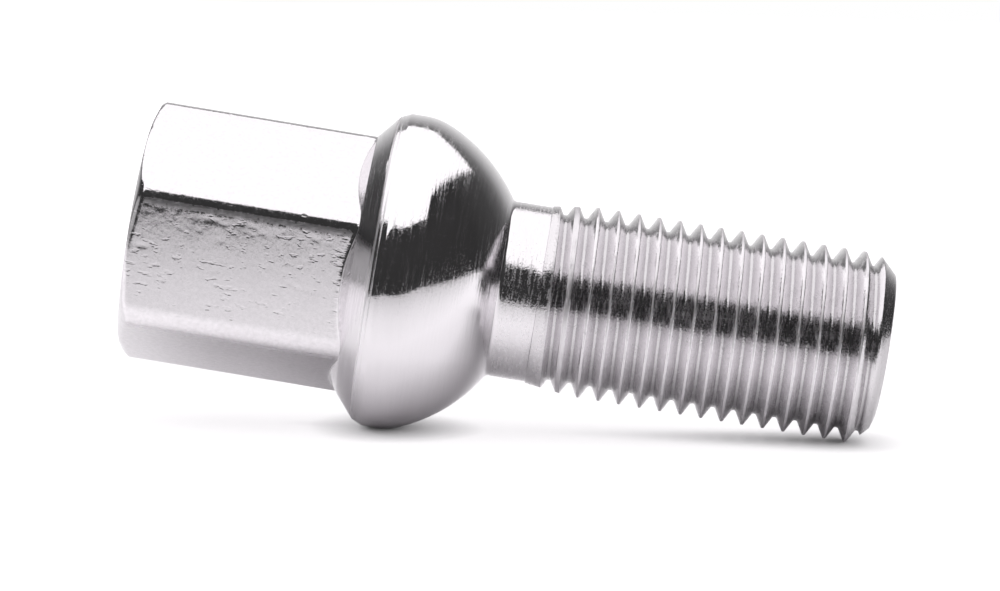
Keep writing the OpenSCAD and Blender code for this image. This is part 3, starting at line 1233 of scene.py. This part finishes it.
@dataclass(frozen=True)
class ChromeFinish:
    """Bright chrome plate over a surface with its own tool marks.

    Scales are for each metre, and depths are in metres.

    Attributes:
        name: The material's name.
        colour: The plate's colour.
        roughness: Its roughness.
        line_scale: Scale of the fine lines along the axis, or 0 for none.
        line_depth: Height of the lines.
        line_length: How many times longer than wide a line is.
        grain_scale: Scale of the grain.
        grain_depth: Height of the grain.
        mottle: Share by which the plate's brightness varies with the grain or lines.
        speckle: Roughness added in the fine specks and scratches.
        wave_depth: Height of the soft waves, or 0 for none.
        pit_depth: Depth of the fine pits, or 0 for none.
        matte: Roughness added where the skin is marked as matte.
        root_painted_shade: Share of painted shade by which the plate's colour darkens in the
            thread's roots.
        speck_scale: Scale of the specks, as a multiple of the grain's.
        speck_span: Levels of grain and specks together at which a speck starts and is full.
        matte_grain: How much the grain frays the edges of the matte places.
        matte_span: Levels of that sum at which the plate starts to be matte and is fully so.
        mottle_span: Levels of the grain or lines at which the plate is darkest and brightest.
        wave_scale: Scale of the soft waves.
        pit_scale: Scale of the pits.
        pit_stretch: How fast the pits change along the axis, where 1 is as fast as across.
        crowd_scale: Scale of the places where the pits crowd together.
        crowd_share: How strongly they crowd.
        pit_span: Levels of both together at which a pit is full and ends.
        tooth_scale: Scale of the notches at the foot of the flats.
        tooth_stretch: How fast the notches change along the axis.
        tooth_depth: Depth of the notches.
    """

    name: str
    colour: tuple[float, float, float] = (0.8, 0.8, 0.81)
    roughness: float = 0.06
    line_scale: float = 0.0
    line_depth: float = 0.0
    line_length: float = 12.0
    grain_scale: float = 3000.0
    grain_depth: float = 0.0000008
    mottle: float = 0.04
    speckle: float = 0.3
    wave_depth: float = 0.0
    pit_depth: float = 0.0
    matte: float = 0.0
    root_painted_shade: float = 0.0
    speck_scale: float = 2.3
    speck_span: tuple[float, float] = (1.02, 1.2)
    matte_grain: float = 1.2
    matte_span: tuple[float, float] = (1.32, 1.38)
    mottle_span: tuple[float, float] = (0.3, 0.7)
    wave_scale: float = 1300.0
    pit_scale: float = 2600.0
    pit_stretch: float = 0.45
    crowd_scale: float = 420.0
    crowd_share: float = 0.5
    pit_span: tuple[float, float] = (0.86, 0.97)
    tooth_scale: float = 4200.0
    tooth_stretch: float = 0.1
    tooth_depth: float = 0.00002

    def material(self) -> bpy.types.Material:
        """Builds the node material.

        Returns:
            The material.
        """
        material, graph = new_material(self.name)
        place = graph.add("TexCoord").outputs["Object"]
        grain = graph.noise(place, self.grain_scale, 3.0)
        normal = graph.bump(grain, self.grain_depth)
        if self.wave_depth:
            waves = graph.noise(place, self.wave_scale, 2.0)
            normal = graph.bump(waves, self.wave_depth, normal)
        shade = grain
        if self.line_scale:
            across = 1 / self.line_length
            lay = graph.stretched(graph.attribute("lay", "Vector"), (across, across, 1.0))
            shade = graph.noise(lay, self.line_scale, 3.0)
            normal = graph.bump(shade, self.line_depth, normal)
        if self.pit_depth:
            normal = self.add_pits(graph, place, normal)
        shader = graph.add(
            "BsdfPrincipled",
            Base_Color=self.plate_colour(graph, shade),
            Metallic=1.0,
            Roughness=self.plate_roughness(graph, place, grain, shade),
            Normal=normal,
        )
        graph.add("OutputMaterial", Surface=shader.outputs[0])
        return material

    def plate_colour(self, graph: Graph, shade: bpy.types.NodeSocket) -> bpy.types.NodeSocket:
        """Varies the plate's brightness with its marks, and darkens the thread's roots with painted
        shade.

        Args:
            graph: The material's graph.
            shade: Level of the grain or lines.

        Returns:
            The colour's socket.
        """
        tone = graph.fade(shade, self.mottle_span, (1 - 2 * self.mottle, 1.0))
        # Painted shade: the plate's colour darkens with the depth in the thread's roots
        if self.root_painted_shade:
            groove = graph.attribute("groove")
            painted_root_shade = graph.math("MULTIPLY_ADD", groove, -self.root_painted_shade, 1.0)
            tone = graph.math("MULTIPLY", tone, painted_root_shade)
        return graph.shaded(self.colour, tone)

    def plate_roughness(
        self,
        graph: Graph,
        place: bpy.types.NodeSocket,
        grain: bpy.types.NodeSocket,
        shade: bpy.types.NodeSocket,
    ) -> bpy.types.NodeSocket:
        """Adds the specks and the matte places to the plate's roughness.

        Args:
            graph: The material's graph.
            place: The place on the object.
            grain: Level of the grain.
            shade: Level of the grain or lines.

        Returns:
            The roughness's socket.
        """
        specks = graph.noise(place, self.speck_scale * self.grain_scale, 1.0)
        both = graph.math("ADD", shade, specks)
        rough = graph.fade(both, self.speck_span, (0.0, self.speckle))
        roughness = graph.math("ADD", rough, self.roughness)
        if self.matte:
            matte = graph.attribute("matte")
            ragged = graph.math("MULTIPLY_ADD", grain, self.matte_grain, matte)
            worn = graph.fade(ragged, self.matte_span, (0.0, self.matte))
            roughness = graph.math("MULTIPLY_ADD", worn, matte, roughness)
        return roughness

    def add_pits(
        self, graph: Graph, place: bpy.types.NodeSocket, normal: bpy.types.NodeSocket
    ) -> bpy.types.NodeSocket:
        """Adds fine ragged pits, and the short notches at the foot of the flats.

        Args:
            graph: The material's graph.
            place: The place on the object.
            normal: The normal so far.

        Returns:
            The normal with the pits.
        """
        spots = graph.stretched(place, (1.0, 1.0, self.pit_stretch))
        spots = graph.noise(spots, self.pit_scale, 2.0)
        crowd = graph.noise(place, self.crowd_scale, 2.0)
        both = graph.math("MULTIPLY_ADD", crowd, self.crowd_share, spots)
        pits = graph.fade(both, self.pit_span, (1.0, 0.0))
        normal = graph.bump(pits, self.pit_depth, normal)
        teeth = graph.stretched(place, (1.0, 1.0, self.tooth_stretch))
        teeth = graph.noise(teeth, self.tooth_scale, 1.0)
        teeth = graph.math("MULTIPLY", teeth, graph.attribute("foot"))
        return graph.bump(teeth, self.tooth_depth, normal)


FORGED_CHROME = ChromeFinish(
    "chrome_forged",
    colour=(0.83, 0.805, 0.83),
    roughness=0.1,
    grain_scale=3400.0,
    grain_depth=0.000004,
    mottle=0.05,
    speckle=0.1,
    wave_depth=0.000005,
    pit_depth=0.0000055,
    matte=0.2,
)
TURNED_CHROME = ChromeFinish(
    "chrome_turned",
    colour=(0.81, 0.786, 0.81),
    roughness=0.045,
    line_scale=4200.0,
    line_depth=0.000008,
    grain_scale=5000.0,
    grain_depth=0.000003,
    mottle=0.015,
    speckle=0.2,
    matte=0.2,
)
ROLLED_CHROME = ChromeFinish(
    "chrome_rolled",
    colour=(0.81, 0.786, 0.81),
    roughness=0.07,
    line_scale=6000.0,
    line_depth=0.000006,
    line_length=9.0,
    grain_scale=6000.0,
    grain_depth=0.000012,
    mottle=0.03,
    speckle=0.35,
    matte=0.3,
    root_painted_shade=0.22,
)

# Outline of the softbox's face over the seat, to the right and to the viewer, as
# shares of its height above the bolt
SOFTBOX_OUTLINE = (
    (-1.12, 1.9),
    (0.44, 1.59),
    (1.21, 1.16),
    (0.94, 0.55),
    (1.12, -0.9),
    (-1.12, -0.9),
)

# Brightness of the surroundings from straight behind the bolt (0) to beside it (1)
BACKDROP_LEVELS = {
    0.0: 1.0,
    0.05: 0.78,
    0.14: 0.57,
    0.23: 0.36,
    0.3: 0.21,
    0.4: 0.12,
    0.56: 0.065,
    1.0: 0.038,
}

# Painted light and shade on the sheet in what the metal shows, from under the bolt (0) to its front
# edge (1)
PAINTED_FLOOR_LEVELS = {
    0.0: 0.68,
    0.06: 0.76,
    0.13: 0.9,
    0.24: 0.88,
    0.33: 0.76,
    0.5: 0.6,
    0.7: 0.45,
    1.0: 0.27,
}


def rectangle(side: float, front: float, back: float) -> list[tuple[float, float]]:
    """Corners of a rectangle that reaches to both sides, to the front and to the back."""
    return [(-side, -front), (side, -front), (side, back), (-side, back)]


@dataclass
class Studio:
    """The camera, the floor that the bolt lies on, the softbox and the surroundings.

    Attributes:
        up_bearing: Bearing of the bolt's side that is on top in the picture.
        roll: How far the bolt's tip points down in the picture.
        lens: The camera's focal length.
        distance: Its distance from the bolt's axis.
        foot_z: Height on the bolt that the camera faces squarely.
        aim_z: Height on the bolt that the camera aims at.
        seat_centre_z: Height on the bolt over which the softbox hangs.
        aim_down: How far below the axis the camera aims.
        rise: How far the camera looks down on the floor.
        rest_r: Radii at the two places where the bolt touches the floor.
        rest_z: Heights on the bolt of these places, on the band and the last crests.
        floor_front: How far the sheet reaches to the viewer.
        softbox_h: Height of the softbox above the bolt.
        softbox_radiance: Brightness of the softbox, where 1 is white.
        softbox_tint: Colour of the softbox.
        lamp_size: Width and depth of the lamp, as shares of its height.
        lamp_shift: How far the lamp hangs to the right of the seat and to the viewer,
            as shares of its height.
        sheet_reach: How far the sheet reaches to each side and to the back.
        floor_reach: How far the wide floor reaches to each side, to the front and back.
        floor_drop: How far the wide floor lies under the sheet.
        floor_tint: Colour of the floor.
        floor_albedo: Share of the light that the floor gives back.
        painted_glow_span: Distances from the bolt over which the floor's painted glow rises.
        painted_glow_levels: The floor's painted glow under the bolt and far from it.
        painted_shadow_reach: How near the metal a painted contact shadow darkens the sheet's glow,
            for the camera and for what the metal shows.
        painted_shadow_power: How strongly that painted contact shadow darkens it for the camera.
        mirror_gain: Factor on the sheet's painted light and shade in what the metal shows.
        mirror_share: Share of these painted levels that is glow, and that is lit.
        wall_side: Reach to the left over which the pale wall at the left appears.
        wall_top: Reach upwards over which that wall ends.
        wall_level: Its brightness.
    """

    up_bearing: float = math.radians(168)
    roll: float = math.radians(9.35)
    lens: float = 162.0
    distance: float = 325.0
    foot_z: float = 29.4
    aim_z: float = 26.54
    seat_centre_z: float = 16.3
    aim_down: float = 0.53
    rise: float = math.radians(6.0)
    rest_r: tuple[float, float] = (11.4, 6.9)
    rest_z: tuple[float, float] = (19.5, 53.0)
    floor_front: float = 62.0
    softbox_h: float = 400.0
    softbox_radiance: float = 1.34
    softbox_tint: tuple[float, float, float] = (1.0, 0.985, 0.995)
    lamp_size: tuple[float, float] = (2.3, 2.4)
    lamp_shift: tuple[float, float] = (-0.15, 0.3)
    sheet_reach: tuple[float, float] = (500.0, 700.0)
    floor_reach: tuple[float, float, float] = (600.0, 500.0, 750.0)
    floor_drop: float = 0.1
    floor_tint: tuple[float, float, float] = (1.0, 0.985, 1.0)
    floor_albedo: float = 0.4
    painted_glow_span: tuple[float, float] = (60.0, 250.0)
    painted_glow_levels: tuple[float, float] = (0.8, 1.06)
    painted_shadow_reach: tuple[float, float] = (3.0, 6.5)
    painted_shadow_power: float = 0.5
    mirror_gain: float = 1.37
    mirror_share: float = 0.37
    wall_side: tuple[float, float] = (-0.86, -0.96)
    wall_top: tuple[float, float] = (0.24, 0.12)
    wall_level: float = 0.42

    @property
    def up(self) -> Vector:
        """Unit vector, square to the bolt's axis, to its side that is on top."""
        return Vector((math.cos(self.up_bearing), math.sin(self.up_bearing), 0))

    def axes(self) -> tuple[Vector, Vector, Vector]:
        """Gives the picture's own axes.

        Returns:
            Unit vectors to the picture's right, to its top and to the viewer.
        """
        along = Vector((0, 0, 1))
        viewer = along.cross(self.up)
        right = along * math.cos(self.roll) + self.up * math.sin(self.roll)
        top = self.up * math.cos(self.roll) - along * math.sin(self.roll)
        return right, top, viewer

    def floor_frame(self) -> tuple[Vector, Vector]:
        """Finds the plane that touches the band and the last crests.

        Returns:
            A point of the floor, in metres, and its upward normal.
        """
        viewer = self.axes()[2]
        down = -(self.up * math.cos(self.rise) + viewer * math.sin(self.rise))
        slope = (self.rest_r[0] - self.rest_r[1]) / (self.rest_z[1] - self.rest_z[0])
        normal = -(down + Vector((0, 0, slope))).normalized()
        point = down * self.rest_r[0] + Vector((0, 0, self.rest_z[0]))
        return point * MM, normal

    def add_camera(self) -> None:
        """Adds the camera at the photograph's place."""
        right, _, viewer = self.axes()
        place = Vector((0, 0, self.foot_z)) + viewer * self.distance
        aim = Vector((0, 0, self.aim_z)) - self.up * self.aim_down
        back = (place - aim).normalized()
        side = (right - back * right.dot(back)).normalized()
        over = back.cross(side)
        data = bpy.data.cameras.new("camera")
        data.lens = self.lens
        data.sensor_width = 36.0
        data.clip_start = 0.01
        data.clip_end = 20.0
        camera = link(bpy.data.objects.new("camera", data))
        turn = Matrix((side, over, back)).transposed().to_4x4()
        camera.matrix_world = Matrix.Translation(place * MM) @ turn
        bpy.context.scene.camera = camera

    def add_card(
        self, name: str, corners: list[Vector], material: bpy.types.Material
    ) -> bpy.types.Object:
        """Adds a flat card as stage.

        Args:
            name: The object's name.
            corners: Its corners in order, in metres.
            material: Its material.

        Returns:
            The new object.
        """
        mesh = bpy.data.meshes.new(name)
        mesh.from_pydata(corners, [], [tuple(range(len(corners)))])
        mesh.materials.append(material)
        card = link(bpy.data.objects.new(name, mesh))
        return card

    def add_floor(self) -> None:
        """Adds the white sheet near the bolt and the wide floor that only the camera sees."""
        point, normal = self.floor_frame()
        right, _, viewer = self.axes()
        x = (right - normal * right.dot(normal)).normalized()
        y = normal.cross(x)
        y = y if y.dot(viewer) < 0 else -y
        x = y.cross(normal)
        side, back = self.sheet_reach
        near = rectangle(side, self.floor_front, back)
        corners = [point + (x * a + y * b) * MM for a, b in near]
        self.add_card("sheet", corners, self.floor_material("floor_white", self.painted_shadow_reach))
        point -= normal * self.floor_drop * MM
        corners = [point + (x * a + y * b) * MM for a, b in rectangle(*self.floor_reach)]
        wide = self.add_card("floor", corners, self.floor_material("floor_far", None))
        wide.visible_glossy = False

    def floor_material(
        self, name: str, painted_shadow_reach: tuple[float, float] | None
    ) -> bpy.types.Material:
        """Builds the floor's white, which keeps real shadows, carries a painted contact shadow and
        painted light, and is seen from above only.

        Args:
            name: The material's name.
            painted_shadow_reach: How near the metal a painted contact shadow darkens the floor's
            glow, for the camera and for what the metal shows, or None where no metal is near.

        Returns:
            The material.
        """
        material, graph = new_material(name)
        path = graph.add("LightPath").outputs
        place = graph.add("TexCoord").outputs["Object"]
        seen = self.painted_seen_level(graph, place)
        level = self.painted_mirror_level(graph, place)
        mirrored = level
        # Painted contact shadow: ambient occlusion near the metal darkens the sheet's glow
        if painted_shadow_reach:
            open_near, open_wide = (
                graph.add("AmbientOcclusion", {"samples": 8}, Distance=reach * MM).outputs["AO"]
                for reach in painted_shadow_reach
            )
            painted_contact_shadow = graph.math("POWER", open_near, self.painted_shadow_power)
            seen = graph.math("MULTIPLY", painted_contact_shadow, seen)
            mirrored = graph.math("MULTIPLY", open_wide, mirrored)
        seen = graph.math("MULTIPLY", seen, path["Is Camera Ray"])
        mirrored = graph.math("MULTIPLY", mirrored, self.mirror_share)
        # In what the metal shows, the sheet's glow and albedo both carry its painted light and
        # shade
        glow = graph.math("MULTIPLY_ADD", path["Is Glossy Ray"], mirrored, seen)
        lit_share = graph.math("MULTIPLY", level, self.mirror_share)
        albedo = graph.math("MULTIPLY_ADD", path["Is Glossy Ray"], lit_share, self.floor_albedo)
        diffuse = graph.add("BsdfDiffuse", Color=graph.shaded(self.floor_tint, albedo))
        emission = graph.add("Emission", Color=(*self.floor_tint, 1), Strength=glow)
        lit = graph.add("AddShader", i0=diffuse.outputs[0], i1=emission.outputs[0])
        clear = graph.add("BsdfTransparent")
        under = graph.add("NewGeometry").outputs["Backfacing"]
        both = graph.add("MixShader", Fac=under, i1=lit.outputs[0], i2=clear.outputs[0])
        graph.add("OutputMaterial", Surface=both.outputs[0])
        return material

    def painted_seen_level(self, graph: Graph, place: bpy.types.NodeSocket) -> bpy.types.NodeSocket:
        """Gives the floor's painted glow for the camera, which rises away from the bolt.

        Args:
            graph: The material's graph.
            place: The place on the floor.

        Returns:
            The level's socket.
        """
        # Painted light: the floor glows more the farther it lies from the bolt
        away = graph.add("VectorMath", {"operation": "LENGTH"}, i0=place).outputs["Value"]
        start, end = self.painted_glow_span
        return graph.fade(away, (start * MM, end * MM), self.painted_glow_levels)

    def painted_mirror_level(self, graph: Graph, place: bpy.types.NodeSocket) -> bpy.types.NodeSocket:
        """Gives the sheet's painted light and shade in what the metal shows, which falls to its
        front edge.

        Args:
            graph: The material's graph.
            place: The place on the floor.

        Returns:
            The level's socket.
        """
        front = graph.dot(place, self.axes()[2])
        share = graph.math("DIVIDE", front, self.floor_front * MM)
        return graph.math("MULTIPLY", graph.ramp(share, PAINTED_FLOOR_LEVELS), self.mirror_gain)

    def over_seat(self) -> Vector:
        """Place at the softbox's height, straight over the seat, in metres."""
        return Vector((0, 0, self.seat_centre_z)) * MM + self.axes()[1] * (self.softbox_h * MM)

    def add_lamp(self) -> None:
        """Adds the lamp that lights the floor and the matte places, unseen by the metal."""
        right, top, viewer = self.axes()
        height = self.softbox_h * MM
        lamp = bpy.data.lights.new("softbox", "AREA")
        lamp.shape = "RECTANGLE"
        lamp.size = self.lamp_size[0] * height
        lamp.size_y = self.lamp_size[1] * height
        lamp.energy = self.softbox_radiance * math.pi * lamp.size * lamp.size_y
        box = link(bpy.data.objects.new("softbox", lamp))
        shift = right * self.lamp_shift[0] + viewer * self.lamp_shift[1]
        turn = Matrix((right, -viewer, top)).transposed().to_4x4()
        box.matrix_world = Matrix.Translation(self.over_seat() + shift * height) @ turn
        box.visible_glossy = False

    def add_softbox(self) -> None:
        """Adds the softbox's face, which only the metal shows."""
        right, _, viewer = self.axes()
        height = self.softbox_h * MM
        corners = [self.over_seat() + (right * x + viewer * y) * height for x, y in SOFTBOX_OUTLINE]
        material, graph = new_material("softbox_face")
        colour = (*self.softbox_tint, 1)
        glow = graph.add("Emission", Color=colour, Strength=self.softbox_radiance)
        graph.add("OutputMaterial", Surface=glow.outputs[0])
        face = self.add_card("softbox_face", corners, material)
        face.visible_camera = False
        face.visible_diffuse = False
        face.visible_shadow = False

    def add_world(self) -> None:
        """Adds the surroundings: white for the camera, else a dark room and a pale backdrop."""
        world = bpy.data.worlds.new("studio")
        bpy.context.scene.world = world
        world.use_nodes = True
        graph = Graph(world.node_tree)
        look = graph.add("TexCoord").outputs["Generated"]
        beside, height, toward = (graph.dot(look, axis) for axis in self.axes())
        room = graph.ramp(graph.math("ADD", toward, 1.0), BACKDROP_LEVELS)
        left = graph.fade(beside, self.wall_side, curve="SMOOTHSTEP")
        low = graph.fade(height, self.wall_top, (0.0, self.wall_level), curve="SMOOTHSTEP")
        level = graph.math("MULTIPLY_ADD", left, low, room)
        dim = graph.add("Background", Color=(1, 1, 1, 1), Strength=level)
        white = graph.add("Background", Color=(1, 1, 1, 1), Strength=1.0)
        seen = graph.add("LightPath").outputs["Is Camera Ray"]
        mix = graph.add("MixShader", Fac=seen, i1=dim.outputs[0], i2=white.outputs[0])
        graph.add("OutputWorld", Surface=mix.outputs[0])

    def build(self) -> None:
        """Sets up the whole studio."""
        bpy.context.scene.view_settings.view_transform = "Standard"
        self.add_camera()
        self.add_floor()
        self.add_lamp()
        self.add_softbox()
        self.add_world()


def main() -> None:
    """Builds the studio and the bolt, and reports the piece."""
    logging.basicConfig(level=logging.INFO, format="%(message)s")
    Studio().build()
    bolt = WheelBolt()
    piece = bolt.build()
    bolt.dress(piece)
    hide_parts(NODE)
    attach(piece, "root")
    LOG.info("%s: %d faces", piece.name, len(piece.data.polygons))


if __name__ == "__main__":
    main()
